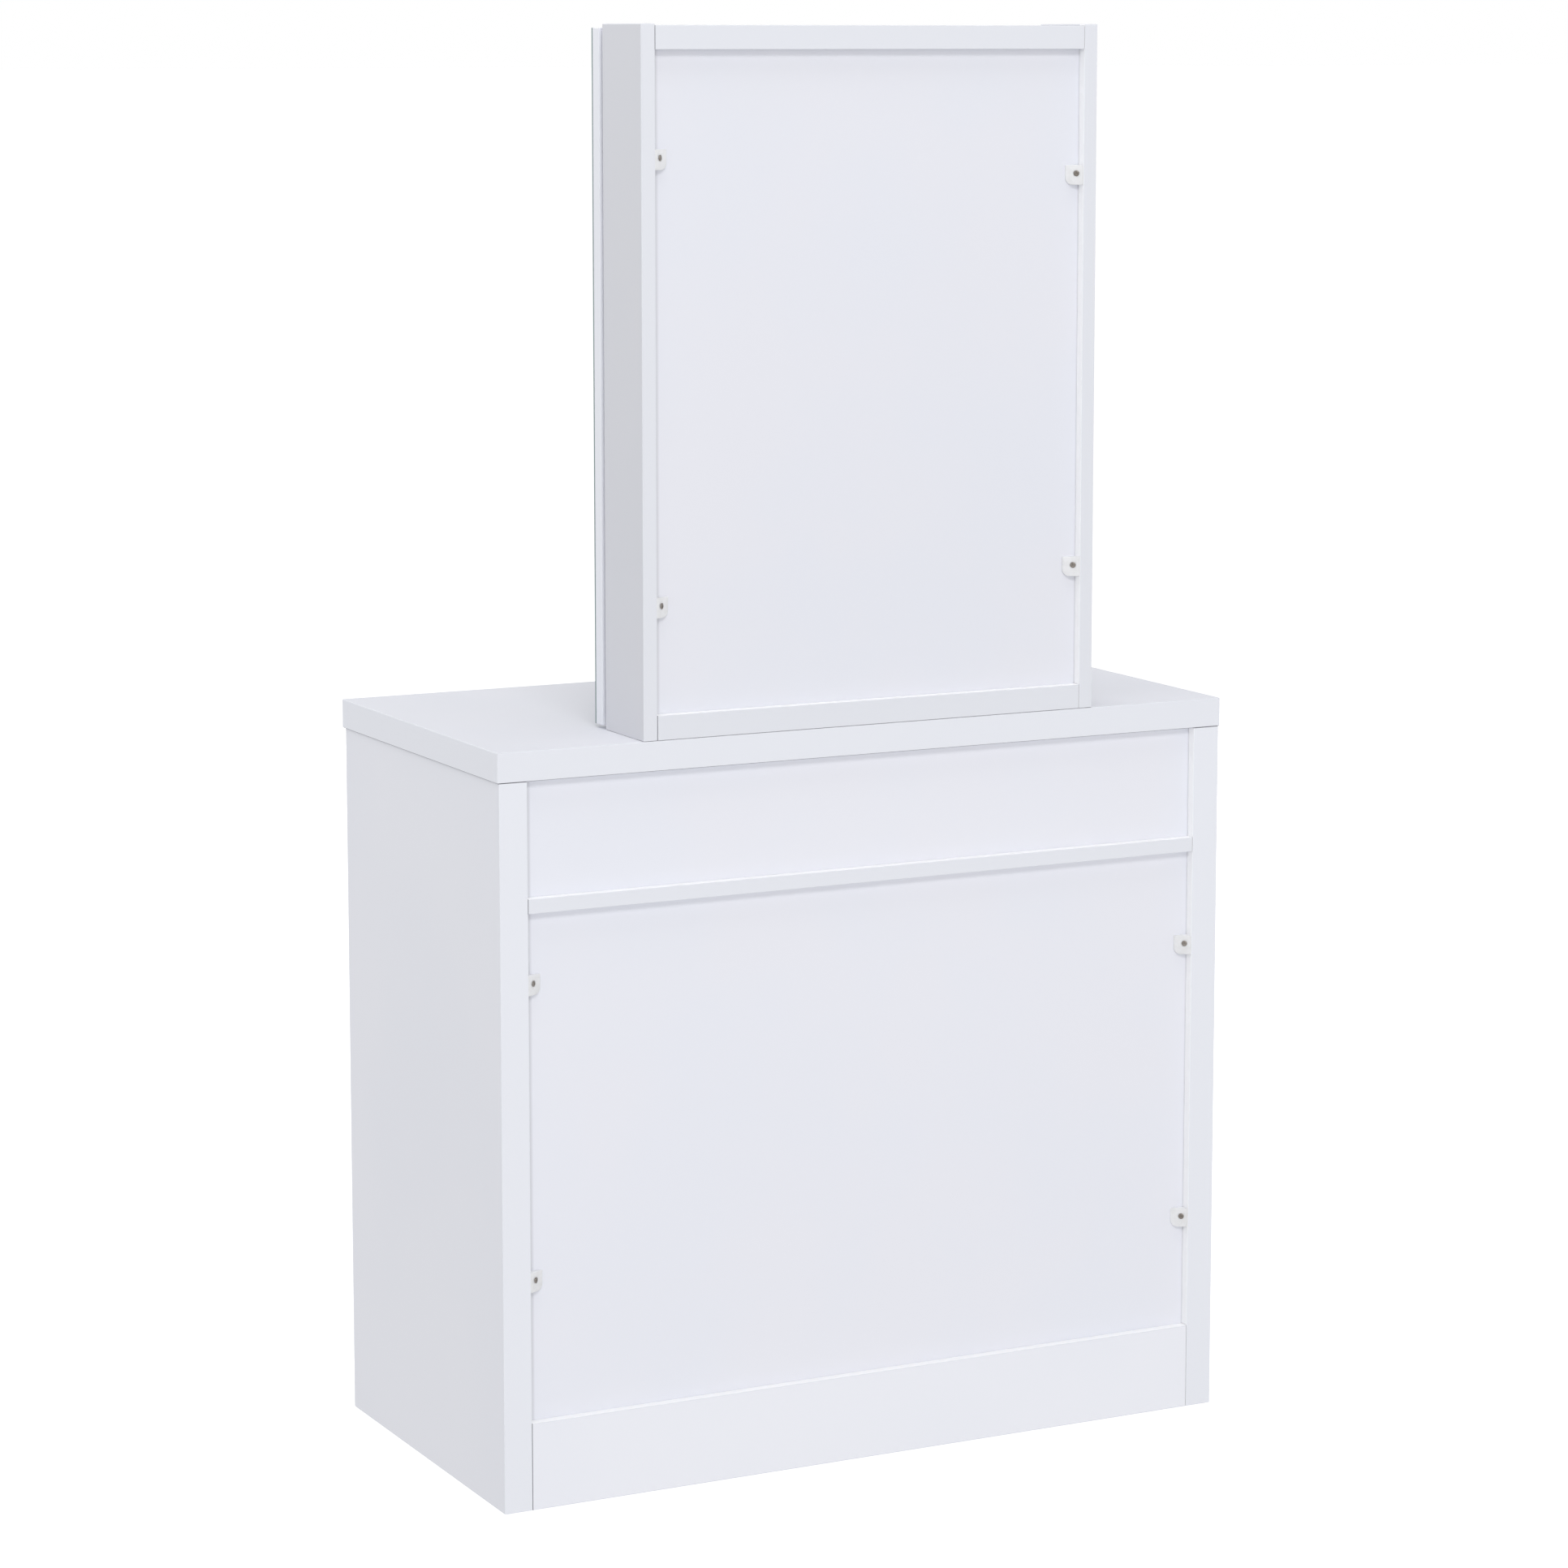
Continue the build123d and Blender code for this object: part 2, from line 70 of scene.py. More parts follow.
look = Vector((-math.sin(camera_heading) * math.cos(camera_tilt),
               -math.cos(camera_heading) * math.cos(camera_tilt), -math.sin(camera_tilt)))
camera = bpy.data.objects.new("camera", bpy.data.cameras.new("camera"))
camera.location = camera_place
camera.rotation_mode = "QUATERNION"
camera.rotation_quaternion = look.to_track_quat("-Z", "Y")
camera.data.sensor_width = 36.0
camera.data.lens = camera_lens
camera.data.shift_y = camera_shift
camera.data.clip_end = 1000.0
bpy.context.scene.collection.objects.link(camera)
bpy.context.scene.camera = camera


# ---------------------------------------------------------------- studio
# A white studio: bright walls all round below a dimmer ceiling, a matt white floor that
# glows a little so that it stays white, and four large soft lights set high around it.
class Wire:
    """A shader socket that can be used in Python arithmetic.

    Operators add Math nodes. make() adds any other node: its settings are set first, then
    its sockets are given values or linked, and one of its outputs is returned.
    """

    def __init__(self, tree, socket=None):
        self.tree = tree
        self.socket = socket

    def make(self, kind, settings=None, sockets=None, out=0):
        node = self.tree.nodes.new("ShaderNode" + kind)
        for name, value in (settings or {}).items():
            setattr(node, name, value)
        for name, value in (sockets or {}).items():
            if isinstance(value, Wire):
                self.tree.links.new(value.socket, node.inputs[name])
            else:
                node.inputs[name].default_value = value
        return Wire(self.tree, node.outputs[out])

    def calc(self, operation, *values):
        return self.make("Math", {"operation": operation}, dict(enumerate((self, *values))))

    def __add__(self, other):
        return self.calc("ADD", other)

    __radd__ = __add__

    def __sub__(self, other):
        return self.calc("SUBTRACT", other)

    def __rsub__(self, other):
        return self.calc("MULTIPLY_ADD", -1.0, other)

    def __mul__(self, other):
        return self.calc("MULTIPLY", other)

    __rmul__ = __mul__

    def least(self, other):
        return self.calc("MINIMUM", other)

    def rise(self, low, high):
        """0 below low, 1 above high, smooth between."""
        return self.make("MapRange", {"interpolation_type": "SMOOTHSTEP"},
                         {"Value": self, "From Min": low, "From Max": high})

    def blend(self, first, second):
        """The first colour where this is 0, the second where it is 1."""
        return self.make("Mix", {"data_type": "RGBA"}, {"Factor": self, 6: first, 7: second},
                         out=2)

    def parts(self):
        """The x, y and z of a vector."""
        split = self.make("SeparateXYZ", {}, {0: self}).socket.node
        return [Wire(self.tree, output) for output in split.outputs]

    def stretched(self, x, y, z):
        """A vector scaled along each axis."""
        return self.make("VectorMath", {"operation": "MULTIPLY"}, {0: self, 1: (x, y, z)})

    def noise(self, scale, detail=2.0, roughness=0.5):
        """Soft noise over a place."""
        return self.make("TexNoise", {}, {"Vector": self, "Scale": scale, "Detail": detail,
                                          "Roughness": roughness})

    def bump(self, distance, strength=1.0):
        """A normal that follows this height."""
        return self.make("Bump", {}, {"Height": self, "Distance": distance,
                                      "Strength": strength})

    def into(self, shader, socket):
        self.tree.links.new(self.socket, shader.inputs[socket])


def new_finish(name, uniform):
    """A material, its Principled shader with uniform values set, and the place on the piece."""
    material = bpy.data.materials.new(name)
    material.use_nodes = True
    shader = material.node_tree.nodes["Principled BSDF"]
    for socket, value in uniform.items():
        shader.inputs[socket].default_value = value
    place = Wire(material.node_tree).make("TexCoord", out="Object")
    return material, shader, place


floor_size = 400.0
floor_drop = 0.0005       # below the feet, so that their undersides don't flicker
floor_white = (0.92, 0.92, 0.92, 1.0)
floor_white_2 = (0.93, 0.93, 0.93, 1.0)
near_glow = (0.44, 0.44, 0.44, 1.0)
far_glow = (0.60, 0.60, 0.60, 1.0)
glow_from = 0.8
glow_to = 3.5
below_light = (0.85, 0.85, 0.855, 1.0)
wall_light = (1.0, 1.0, 1.0, 1.0)
ceiling_light = (0.42, 0.42, 0.43, 1.0)
below_start = -0.16       # sines of the elevations between which the light changes
below_end = -0.02
wall_top = 0.18
ceiling_foot = 0.40

half_floor = floor_size / 2
floor_mesh = bpy.data.meshes.new("studio_floor")
floor_mesh.from_pydata([(-half_floor, -half_floor, 0), (half_floor, -half_floor, 0),
                        (half_floor, half_floor, 0), (-half_floor, half_floor, 0)],
                       [], [(0, 1, 2, 3)])
floor = bpy.data.objects.new("studio_floor", floor_mesh)
floor.location.z = -floor_drop
floor.visible_diffuse = False
floor.visible_glossy = False
bpy.context.scene.collection.objects.link(floor)
floor_finish, shader, place = new_finish("studio_floor", {
    "Roughness": 0.9, "Specular IOR Level": 0.1, "Emission Strength": 1.0})
place.noise(0.6).blend(floor_white, floor_white_2).into(shader, "Base Color")
away = place.make("VectorMath", {"operation": "LENGTH"}, {0: place}, out=1)
away.rise(glow_from, glow_to).blend(near_glow, far_glow).into(shader, "Emission Color")
floor_mesh.materials.append(floor_finish)
floor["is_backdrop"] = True

world = bpy.data.worlds.new("studio_sky")
bpy.context.scene.world = world
world.use_nodes = True
sky = world.node_tree.nodes["Background"]
upwards = Wire(world.node_tree).make("TexCoord", out="Generated").parts()[2]
room = upwards.rise(wall_top, ceiling_foot).blend(wall_light, ceiling_light)
upwards.rise(below_start, below_end).blend(below_light, room).into(sky, "Color")
bpy.context.scene.view_settings.view_transform = "Standard"


def soft_light(name, place, target, width, height, power):
    data = bpy.data.lights.new(name, "AREA")
    data.shape = "RECTANGLE"
    data.size = width
    data.size_y = height
    data.energy = power
    light = bpy.data.objects.new(name, data)
    light.location = place
    light.rotation_mode = "QUATERNION"
    light.rotation_quaternion = (Vector(target) - Vector(place)).to_track_quat("-Z", "Y")
    bpy.context.scene.collection.objects.link(light)


soft_light("rear_light", (2.7, 8.5, 6.9), (0, 0.2, 0.0), 4.4, 2.4, 335.0)
soft_light("top_light", (0.3, 0.8, 4.2), (0.2, 0.2, 0.7), 2.6, 1.6, 33.0)
soft_light("front_light", (1.9, -4.8, 3.0), (0, -0.1, 0.4), 2.4, 1.5, 72.0)
soft_light("left_light", (-4.8, -0.4, 2.0), (-0.2, 0, 0.3), 2.0, 1.0, 30.0)


# ---------------------------------------------------------------- table boards
# Particle board with a hard white melamine face, its edges covered by a glued band of the
# same white. The band's glue line shows as a hair line just inside each softened arris.
band_thickness = 0.0009
glue_line = 0.00022
board_white = (0.815, 0.828, 0.882, 1.0)
board_white_2 = (0.828, 0.838, 0.888, 1.0)
band_white = (0.815, 0.832, 0.885, 1.0)
glue_grey = (0.60, 0.60, 0.62, 1.0)
# the painted highlight on the strip of a board's inner face that stands out behind a back panel
ledge_highlight_white = (0.955, 0.960, 0.970, 1.0)
ledge_depth = 0.0100      # from a back panel's outer face to the boards' rear edges
line_strength = 0.15      # how far the glue line and the joint line cover the white
seam_strength = 0.85
seam_dark = (0.12, 0.12, 0.14, 1.0)
seam_reach = 0.00060      # how far a dark joint line climbs a board's arris
seam_width = 0.0012       # how far it is seen along the touching face


def nearest_edge(place, low, high, axes):
    """Distance from the nearest side of a box, measured along the given axes."""
    parts = place.parts()
    distance = None
    for axis in axes:
        for gap in (parts[axis] - low[axis], high[axis] - parts[axis]):
            distance = gap if distance is None else distance.least(gap)
    return distance


def faced_board(node, seams=(), tone=1.0, band_tone=1.0, ledge=None):
    """The finish of one board. seams are the sides, as (axis, end), that butt against
    another board, where a fine dark line is painted along the arris: partly dirt in the joint,
    partly painted shade. ledge is the side whose rear strip stands out behind a back panel
    and gets a painted highlight, a brighter white for the light it catches."""
    low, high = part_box(node)
    size = high - low
    thin = min(range(3), key=lambda axis: size[axis])
    material, shader, place = new_finish("faced_board_" + node, {"IOR": 1.48})
    edge = nearest_edge(place, low, high, [axis for axis in range(3) if axis != thin])
    banded = 1 - edge.rise(band_thickness * 0.9, band_thickness * 1.1)
    line = 1 - (edge - band_thickness).calc("ABSOLUTE").rise(glue_line * 0.5, glue_line)
    cloud = place.noise(4.0, 3.0)
    pearl = place.noise(1400.0, 2.0, 0.6)
    first, second, band = (
        tuple(part * share for part in white[:3]) + (1.0,) for white, share in
        ((board_white, tone), (board_white_2, tone), (band_white, band_tone)))
    face = cloud.rise(0.35, 0.65).blend(first, second)
    colour = (line * line_strength).blend(banded.blend(face, band), glue_grey)
    parts = place.parts()
    # Painted highlight: the strip of the inner face behind a back panel is painted a brighter white
    # for the light it catches.
    if ledge:
        axis, end = ledge
        side = high[axis] - parts[axis] if end else parts[axis] - low[axis]
        strip = (1 - side.rise(0.0001, 0.0003)) * (
            1 - (high.y - parts[1]).rise(ledge_depth, ledge_depth + 0.0001))
        colour = strip.blend(colour, ledge_highlight_white)
    # Painted shade, partly dirt: a fine dark line along each arris that butts against another board.
    for axis, end in seams:
        side = high[axis] - parts[axis] if end else parts[axis] - low[axis]
        others = nearest_edge(place, low, high, [other for other in range(3) if other != axis])
        mark = (1 - side.rise(seam_reach * 0.6, seam_reach)) * (
            1 - others.rise(seam_width * 0.7, seam_width))
        colour = (mark * seam_strength).blend(colour, seam_dark)
    colour.into(shader, "Base Color")
    (0.50 + cloud * 0.06 + pearl * 0.08 - banded * 0.06).into(shader, "Roughness")
    relief = pearl * 0.6 + place.noise(260.0) * 0.4 - line * 0.8
    relief.bump(0.00004, 0.55).into(shader, "Normal")
    return material


def paint(node, material):
    """A CAD node keeps its own mesh and takes this material."""
    mesh = nodes[node].data
    mesh.materials.clear()
    mesh.materials.append(material)


# A few boards are painted a shade lighter or darker than the others, as painted light and shade for
# how the light falls on their faces; two boards' edge bands are a shade darker.
light_and_shade_tones = {"rear_skirt": 1.035, "side_panel_left": 0.975, "side_panel_right": 0.975}
band_tones = {"divider_board": 0.96, "tabletop": 0.975}
x_ends = ((0, 0), (0, 1))
z_foot, z_head = (2, 0), (2, 1)
table_boards = {
    "tabletop": (z_foot,), "side_panel_left": (z_head,), "side_panel_right": (z_head,),
    "divider_board": x_ends, "rear_skirt": x_ends, "pedestal_wall": (z_head,),
    "pedestal_floor": x_ends, "front_plinth": (*x_ends, z_head),
    "drawer_partition": (z_head, z_foot)}
ledges = {"side_panel_left": (0, 1), "side_panel_right": (0, 0), "divider_board": (2, 1),
          "rear_skirt": (2, 1)}
for node, seams in table_boards.items():
    paint(node, faced_board(node, seams, light_and_shade_tones.get(node, 1.0), band_tones.get(node, 1.0),
                            ledges.get(node)))


# ---------------------------------------------------------------- back panels
# Thin hardboard, lacquered smooth and white on its outer face, slid loosely into grooves
# in the boards around it.
panel_white = (0.812, 0.826, 0.888, 1.0)
panel_white_2 = (0.822, 0.828, 0.884, 1.0)
shade_grey = (0.42, 0.42, 0.44, 1.0)
shadow_near = 0.0045        # the painted shadow is full this far out from the corner
shadow_far = 0.0085         # and ends here
shadow_share = 0.38
groove_line = 0.0014      # width of the hair line at the other end
groove_share = 0.26
cabinet_panel_white = (0.772, 0.786, 0.846, 1.0)
cabinet_panel_white_2 = (0.782, 0.788, 0.842, 1.0)


def lacquered_panel(node, first=panel_white, second=panel_white_2, uprights=None):
    """The finish of one panel. uprights are the boards whose grooves hold its ends: the
    left-hand groove shows as a hair line, and a painted shadow from the right-hand
    upright's lip greys the panel beside the right-hand corner.
    The greyer pair of whites is the cabinet's."""
    material, shader, place = new_finish("lacquered_panel_" + node, {"IOR": 1.46})
    cloud = place.noise(7.0)
    fibre = place.noise(900.0, 3.0, 0.65)
    colour = cloud.rise(0.3, 0.7).blend(first, second)
    if uprights:
        left, right = uprights
        across = place.parts()[0]
        groove = 1 - (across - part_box(left)[1].x).rise(groove_line * 0.6, groove_line)
        # Painted shadow cast by the right-hand upright's lip on the panel beside it.
        lip_shadow = 1 - (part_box(right)[0].x - across).rise(shadow_near, shadow_far)
        colour = (groove * groove_share).blend(colour, shade_grey)
        colour = (lip_shadow * shadow_share).blend(colour, shade_grey)
    colour.into(shader, "Base Color")
    (0.46 + fibre * 0.08 + cloud * 0.05).into(shader, "Roughness")
    (fibre * 0.5 + place.noise(30.0) * 0.5).bump(0.00008, 0.4).into(shader, "Normal")
    return material


for node in ("upper_back_panel", "lower_back_panel"):
    paint(node, lacquered_panel(node, uprights=("side_panel_left", "side_panel_right")))
paint("cabinet_back_panel", lacquered_panel(
    "cabinet_back_panel", cabinet_panel_white, cabinet_panel_white_2,
    uprights=("cabinet_side_left", "cabinet_side_right")))


# ---------------------------------------------------------------- cam fittings
# Die-cast zinc cams let into the boards' faces, and turned bolts screwed into the mating
# boards. A cam's cross slot shows from inside the table and the cabinet.
cast_zinc = (0.52, 0.53, 0.55, 1.0)
cast_zinc_dark = (0.40, 0.41, 0.43, 1.0)
bolt_zinc = (0.66, 0.66, 0.68, 1.0)
bolt_zinc_dark = (0.54, 0.54, 0.57, 1.0)


def metal(name, first, second, roughness, grain=(1.0, 1.0, 1.0), relief=0.00003):
    """Bare or plated metal. grain squeezes the noise into scratches along one axis."""
    material, shader, place = new_finish(name, {"Metallic": 1.0})
    cloud = place.noise(60.0, 3.0)
    scratch = place.stretched(*grain).noise(900.0, 3.0, 0.6)
    cloud.rise(0.3, 0.7).blend(first, second).into(shader, "Base Color")
    (roughness + cloud * 0.10 + scratch * 0.10 - 0.10).into(shader, "Roughness")
    scratch.bump(relief, 0.5).into(shader, "Normal")
    return material


paint("cam_locks", metal("cast_zinc", cast_zinc, cast_zinc_dark, 0.48, relief=0.00008))
paint("cam_bolts", metal("bolt_zinc", bolt_zinc, bolt_zinc_dark, 0.34))


# ---------------------------------------------------------------- corner clips
# Moulded nylon wedges pushed into the corners behind the loose back panels, flat against
# the panel and the board beside it, with the lower corner of the free end rounded away.
clip_width = 0.016
clip_height = 0.020
clip_lip = 0.0015
clip_rise = 0.00925       # off the panel, along the board's side
clip_round = 0.007        # the free end's lower corner
clip_small_round = 0.0009  # the other corners
clip_arris = 0.0005
clip_screw_tilt = math.radians(42.0)
clip_screw_seat = Vector((-0.0064, 0.0066, 0.0017))    # from the corner at mid height
clip_well_radius = 0.0036
clip_well_reach = 0.020   # out past the clip's face
clip_white = (0.80, 0.805, 0.82, 1.0)
clip_white_2 = (0.76, 0.765, 0.775, 1.0)


def loose_boxes(node):
    """The boxes of a CAD node's separate solids, in a fixed order."""
    work = bmesh.new()
    work.from_mesh(nodes[node].data)
    bmesh.ops.remove_doubles(work, verts=work.verts, dist=1e-6)
    seen = set()
    boxes = []
    for first in work.verts:
        if first in seen:
            continue
        seen.add(first)
        group = [first]
        for vert in group:
            for edge in vert.link_edges:
                other = edge.other_vert(vert)
                if other not in seen:
                    seen.add(other)
                    group.append(other)
        low = Vector([min(vert.co[axis] for vert in group) for axis in range(3)])
        high = Vector([max(vert.co[axis] for vert in group) for axis in range(3)])
        boxes.append((low, high))
    work.free()
    return sorted(boxes, key=lambda box: [round(value, 5) for value in (*box[0], *box[1])])


def turned(outline, steps=48):
    """A solid of revolution about Z. The outline gives radius and height, axis to axis."""
    work = bmesh.new()
    rings = []
    for radius, height in outline:
        count = steps if radius else 1
        rings.append([work.verts.new((radius * math.cos(math.tau * i / steps),
                                      radius * math.sin(math.tau * i / steps), height))
                      for i in range(count)])
    for lower, upper in zip(rings, rings[1:]):
        for i in range(steps):
            j = (i + 1) % steps
            corners = (lower[i % len(lower)], lower[j % len(lower)],
                       upper[j % len(upper)], upper[i % len(upper)])
            work.faces.new(dict.fromkeys(corners))
    return work


def as_mesh(work):
    mesh = bpy.data.meshes.new("work")
    work.to_mesh(mesh)
    work.free()
    return mesh


def carved(mesh, *cutters):
    """A mesh with each cutter taken out of it."""
    for cutter in cutters:
        solid = bpy.data.objects.new("solid", mesh)
        tool = bpy.data.objects.new("tool", cutter)
        for thing in (solid, tool):
            bpy.context.scene.collection.objects.link(thing)
        cut = solid.modifiers.new("cut", "BOOLEAN")
        cut.operation = "DIFFERENCE"
        cut.solver = "EXACT"
        cut.object = tool
        graph = bpy.context.evaluated_depsgraph_get()
        mesh = bpy.data.meshes.new_from_object(solid.evaluated_get(graph))
        for thing in (solid, tool):
            bpy.data.objects.remove(thing)
    return mesh


def set_out(mesh, places):
    """One mesh made of a copy of the given mesh at each place."""
    work = bmesh.new()
    for place in places:
        copy = mesh.copy()
        copy.transform(place)
        if place.determinant() < 0:
            copy.flip_normals()
        work.from_mesh(copy)
        bpy.data.meshes.remove(copy)
    return as_mesh(work)


def place_piece(name, mesh, material, body, stands_for=(), sharp=30.0):
    """A finished piece in the scene, riding its body."""
    mesh.name = name
    mesh.materials.clear()
    mesh.materials.append(material)
    mesh.shade_smooth()
    mesh.set_sharp_from_angle(angle=math.radians(sharp))
    piece = bpy.data.objects.new(name, mesh)
    bpy.context.scene.collection.objects.link(piece)
    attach(piece, body)
    if stands_for:
        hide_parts(*stands_for)
    return piece


def clip_outline():
    """The clip seen from the rear, its wall at x = 0 and its free end at -clip_width."""
    half = clip_height / 2
    corners = ((0, -half, clip_small_round), (0, half, clip_small_round),
               (-clip_width, half, clip_small_round), (-clip_width, -half, clip_round))
    points = []
    for index, (x, z, radius) in enumerate(corners):
        before = Vector(corners[index - 1][:2]) - Vector((x, z))
        after = Vector(corners[(index + 1) % 4][:2]) - Vector((x, z))
        start = Vector((x, z)) + before.normalized() * radius
        end = Vector((x, z)) + after.normalized() * radius
        middle = start + end - Vector((x, z))
        for step in range(9):
            angle = math.radians(90 * step / 8)
            points.append(middle + (start - middle) * math.cos(angle)
                          + (end - middle) * math.sin(angle))
    return points


def clip_mesh():
    """One clip for a right-hand wall: origin in the corner, at mid height."""
    slope = (clip_rise - clip_lip) / (clip_width - clip_lip)
    work = bmesh.new()
    outline = clip_outline()
    foot = [work.verts.new((point.x, 0, point.y)) for point in outline]
    head = [work.verts.new((point.x, min(clip_rise, clip_rise + (point.x + clip_lip) * slope),
                            point.y)) for point in outline]
    count = len(outline)
    for i in range(count):
        j = (i + 1) % count
        work.faces.new((foot[i], foot[j], head[j], head[i]))
    work.faces.new(reversed(foot))
    crown = work.faces.new(head)
    bmesh.ops.recalc_face_normals(work, faces=work.faces)
    across = Vector((-clip_lip, 0, 0))
    bmesh.ops.bisect_plane(work, geom=[crown, *crown.edges, *crown.verts],
                           plane_co=across, plane_no=(1, 0, 0))
    rim = [edge for edge in work.edges
           if all(vert.co.y > 0.0001 for vert in edge.verts) and edge.calc_face_angle(0) > 0.3]
    bmesh.ops.bevel(work, geom=rim, offset=clip_arris, segments=3, profile=0.5, affect="EDGES",
                    clamp_overlap=True)
    outward = Vector((-math.sin(clip_screw_tilt), math.cos(clip_screw_tilt), 0))
    well = as_mesh(turned([(0, 0), (clip_well_radius, 0), (clip_well_radius, clip_well_reach),
                           (0, clip_well_reach)]))
    turn = outward.to_track_quat("Z", "Y").to_matrix().to_4x4()
    well.transform(Matrix.Translation(clip_screw_seat) @ turn)
    return carved(as_mesh(work), well)


def clip_places():
    """Where each clip's corner is: on which wall, and mirrored for the left-hand ones."""
    places = []
    for low, high in loose_boxes("panel_clips"):
        right = low.x + high.x > 0
        corner = Vector((high.x if right else low.x, low.y, (low.z + high.z) / 2))
        turn = Matrix.Identity(4) if right else Matrix.Scale(-1, 4, (1, 0, 0))
        places.append(Matrix.Translation(corner) @ turn)
    return places


material, shader, place = new_finish("moulded_nylon", {"IOR": 1.5, "Subsurface Weight": 0.08,
                                                       "Subsurface Radius": (0.002, 0.002, 0.002)})
cloud = place.noise(160.0, 2.0)
grain = place.noise(2600.0, 2.0, 0.6)
cloud.rise(0.35, 0.7).blend(clip_white, clip_white_2).into(shader, "Base Color")
(0.38 + grain * 0.12).into(shader, "Roughness")
grain.bump(0.00005, 0.5).into(shader, "Normal")
place_piece("moulded_clips", set_out(clip_mesh(), clip_places()), material, "carcass",
            ["panel_clips"])


# ---------------------------------------------------------------- clip screws
# Small dull steel pan-head wood screws with a cross recess, driven slantwise through the
# clips into the boards.
clip_screw_head = 0.0030
clip_screw_rise = 0.0011  # the head's height above its seat
clip_screw_core = 0.0014
clip_screw_length = 0.017
thread_pitch = 0.0012
thread_depth = 0.0004
thread_point = 0.0008     # bare tip below the first turn
dull_steel = (0.24, 0.215, 0.19, 1.0)
dull_steel_2 = (0.36, 0.33, 0.30, 1.0)


def cross_recess(reach, width, depth, top):
    """The two tapered blades of a cross recess, pointing down from the given height."""
    blades = []
    for turn in (0, math.pi / 2):
        work = bmesh.new()
        spread = ((reach, width, top + depth), (reach, width, top),
                  (reach * 0.45, width * 0.7, top - depth))
        rings = [[work.verts.new((x * long, y * wide, z)) for x, y in
                  ((-1, -1), (1, -1), (1, 1), (-1, 1))] for long, wide, z in spread]
        for upper, lower in zip(rings, rings[1:]):
            for i in range(4):
                j = (i + 1) % 4
                work.faces.new((upper[j], upper[i], lower[i], lower[j]))
        work.faces.new(rings[0])
        work.faces.new(reversed(rings[-1]))
        bmesh.ops.recalc_face_normals(work, faces=work.faces)
        bmesh.ops.rotate(work, verts=work.verts, matrix=Matrix.Rotation(turn, 3, "Z"))
        blades.append(as_mesh(work))
    return blades


def pan_screw(head, rise, core, length):
    """A pan-head screw along Z: seat at z = 0, head above it, threaded shank below."""
    outline = [(0, -length)]
    turns = int(length / thread_pitch) - 1
    for step in range(turns):
        z = -length + thread_point + step * thread_pitch
        taper = min(1.0, 0.45 + step * 0.2)
        outline.append(((core - thread_depth) * taper, z))
        outline.append((core * taper, z + thread_pitch / 2))
    outline += [(core * 0.9, -thread_pitch / 2), (core * 0.9, 0), (head * 0.96, 0)]
    for step in range(9):
        angle = math.radians(90 * step / 8)
        outline.append((head * (0.55 + 0.45 * math.cos(angle)),
                        rise * (0.35 + 0.65 * math.sin(angle))))
    outline.append((0, rise * 1.02))
    blades = cross_recess(head * 0.56, head * 0.13, rise * 0.62, rise)
    return carved(as_mesh(turned(outline, 40)), *blades)


screw_turn = Vector((-math.sin(clip_screw_tilt), math.cos(clip_screw_tilt), 0))
screw_stand = (Matrix.Translation(clip_screw_seat)
               @ screw_turn.to_track_quat("Z", "Y").to_matrix().to_4x4())
clip_screw = pan_screw(clip_screw_head, clip_screw_rise, clip_screw_core, clip_screw_length)
blackened = metal("blackened_steel", dull_steel, dull_steel_2, 0.36, relief=0.00004)
place_piece("clip_screw_set", set_out(clip_screw, [spot @ screw_stand for spot in clip_places()]),
            blackened, "carcass", ["clip_screws"])


# ---------------------------------------------------------------- mirror cabinet
# A shallow box of the same faced board on the tabletop, with a grooved-in back panel and
# two loose shelves inside.
cabinet_tone = 0.92       # its boards are a shade greyer than the table's
cabinet_side_shade_tone = 0.80  # and its upright sides' faces more so: painted shade, as less light reaches them

for node, seams, tone, ledge in (
        ("cabinet_side_left", (z_foot,), cabinet_side_shade_tone, (0, 1)),
        ("cabinet_side_right", (z_foot,), cabinet_side_shade_tone, (0, 0)),
        ("cabinet_top", x_ends, cabinet_tone, None),
        ("cabinet_floor", (*x_ends, z_foot), cabinet_tone, (2, 1)),
        ("cabinet_shelf_lower", (), cabinet_tone, None),
        ("cabinet_shelf_upper", (), cabinet_tone, None)):
    paint(node, faced_board(node, seams, tone, cabinet_tone, ledge))


# ---------------------------------------------------------------- cabinet fixing screws
# Four longer screws of the same kind, driven up through the tabletop into the cabinet's
# floor board. Their heads are under the tabletop, above the drawers.
fixing_head = 0.005
fixing_rise = 0.0025
fixing_core = 0.0025
fixing_length = 0.045

fixing_screw = pan_screw(fixing_head, fixing_rise, fixing_core, fixing_length)
over = Matrix.Rotation(math.pi, 4, "X")
seats = [Matrix.Translation(((low.x + high.x) / 2, (low.y + high.y) / 2, high.z - fixing_length))
         @ over for low, high in loose_boxes("cabinet_fixing_screws")]
place_piece("cabinet_screw_set", set_out(fixing_screw, seats), blackened, "carcass",
            ["cabinet_fixing_screws"])


# ---------------------------------------------------------------- shelf pins
# Plated steel pins pushed into holes in the cabinet's sides, under the ends of each shelf,
# with rounded ends.
pin_zinc = (0.70, 0.70, 0.71, 1.0)
pin_zinc_dark = (0.58, 0.58, 0.60, 1.0)
pin_ease = 0.0008


def eased_outline(points, ease, steps=4):
    """The outline with each corner off the axis rounded."""
    result = [points[0]]
    for before, corner, after in zip(points, points[1:], points[2:]):
        here = Vector(corner)
        back, ahead = Vector(before) - here, Vector(after) - here
        reach = min(ease, back.length * 0.45, ahead.length * 0.45)
        start = here + back.normalized() * reach
        end = here + ahead.normalized() * reach
        for step in range(steps + 1):
            t = step / steps
            point = start * (1 - t) ** 2 + here * (2 * t * (1 - t)) + end * t ** 2
            result.append((point.x, point.y))
    result.append(points[-1])
    return result


